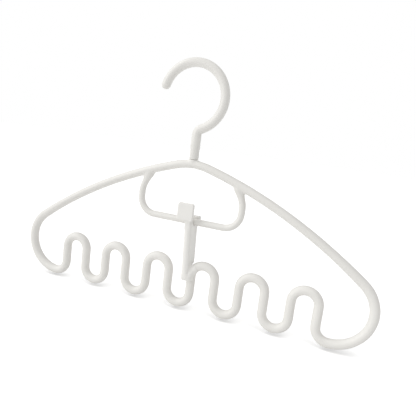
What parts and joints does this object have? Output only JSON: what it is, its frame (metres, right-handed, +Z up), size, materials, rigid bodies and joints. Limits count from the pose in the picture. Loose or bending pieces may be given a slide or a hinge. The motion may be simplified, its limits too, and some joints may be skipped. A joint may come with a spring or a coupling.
{
  "type": "space-saving hanger",
  "caption": "White plastic clothes hanger with a wavy lower bar for straps and scarves, a swivel hook, an inner loop and a hinged centre clasp.",
  "frame": {"origin": "rail seat, the underside of the hook's crown", "axes": "+Z up, the hanger's plane is XZ, +X runs along the shoulders away from the hook's open side, front at -Y"},
  "size_m": [0.3924, 0.0228, 0.2536],
  "materials": {
    "frame_white": "satin",
    "hook_white": "satin",
    "clasp_white": "satin"
  },
  "bodies": {
    "hook_body": {"hook": "hook_white"},
    "frame_body": {"frame": "frame_white"},
    "clasp_body": {"centre_clasp": "clasp_white"}
  },
  "joints": [
    {"name": "hook_swivel", "type": "hinge", "parent": "hook_body", "child": "frame_body", "pos_m": [0.0079, 0, -0.089], "axis": [0, 0, 1], "continuous": true},
    {"name": "clasp_hinge", "type": "hinge", "parent": "frame_body", "child": "clasp_body", "pos_m": [0.0079, 0, -0.1512], "axis": [-1, 0, 0], "range_deg": [0, 95]}
  ]
}
